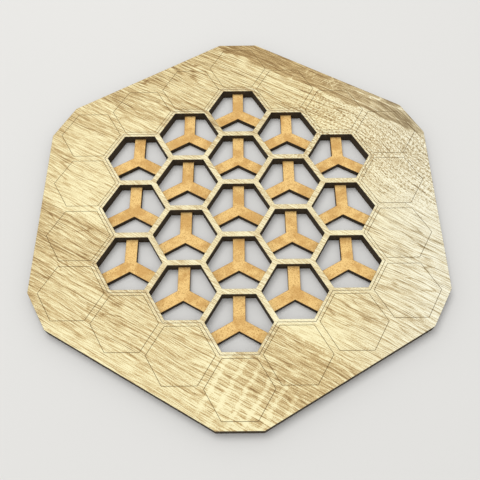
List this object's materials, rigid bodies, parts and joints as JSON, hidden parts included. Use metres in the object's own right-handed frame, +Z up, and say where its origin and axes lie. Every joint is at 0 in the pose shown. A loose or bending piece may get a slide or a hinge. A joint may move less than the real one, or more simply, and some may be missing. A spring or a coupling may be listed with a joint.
{
  "type": "hex game board",
  "caption": "Flat wooden game board of stacked laser-cut sheets, with a honeycomb of hexagonal tile windows over star-shaped rests and engraved sea outlines round them.",
  "frame": {"origin": "middle of the underside, on the surface that the board lies on", "axes": "+Z up out of the oak face, +Y towards the board's top corner cell, along a column of windows"},
  "size_m": [0.576, 0.63, 0.016],
  "materials": {
    "oak_face": "satin oak with laser-engraved lines",
    "window_sheet": "fibreboard with laser-charred edges",
    "rest_sheet": "bare fibreboard with laser-charred edges"
  },
  "bodies": {
    "root": {"oak_face": "oak_face", "window_sheet": "window_sheet", "rest_sheet": "rest_sheet"}
  },
  "joints": []
}
